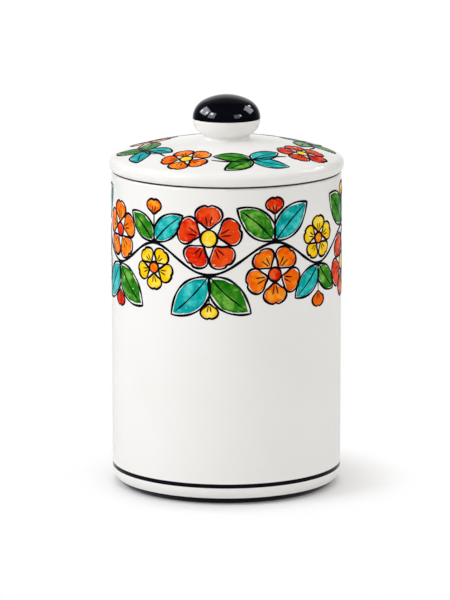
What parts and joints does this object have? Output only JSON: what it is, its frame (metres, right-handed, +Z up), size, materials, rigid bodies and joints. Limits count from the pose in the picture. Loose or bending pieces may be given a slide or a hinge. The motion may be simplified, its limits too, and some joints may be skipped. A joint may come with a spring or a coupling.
{
  "type": "lidded ceramic rumtopf pot",
  "caption": "Straight-sided glazed ceramic pot on a foot ring, for steeping fruit in liquor, with a domed ball-knob lid that lifts off and turns.",
  "frame": {"origin": "centre of the foot at table level", "axes": "+Z up along the pot's axis, out through the lid's knob"},
  "size_m": [0.153, 0.153, 0.2561],
  "materials": {
    "white_glaze": "glossy warm white glaze over fired clay",
    "black_glaze": "glossy blue-black glaze, banded by brush",
    "soft_ring": "milky silicone rubber, satin"
  },
  "bodies": {
    "pot": {"pot": "white_glaze", "upper_line": "black_glaze", "foot_line": "black_glaze"},
    "seal": {"sealing_ring": "soft_ring"},
    "lid": {"lid": "white_glaze", "knob_crown": "black_glaze"}
  },
  "joints": [
    {"name": "lid_lift", "type": "slide", "parent": "pot", "child": "seal", "axis": [0, 0, 1], "range_m": [0, 0.12]},
    {"name": "lid_turn", "type": "hinge", "parent": "seal", "child": "lid", "pos_m": [0, 0, 0.2068], "axis": [0, 0, 1], "continuous": true}
  ]
}
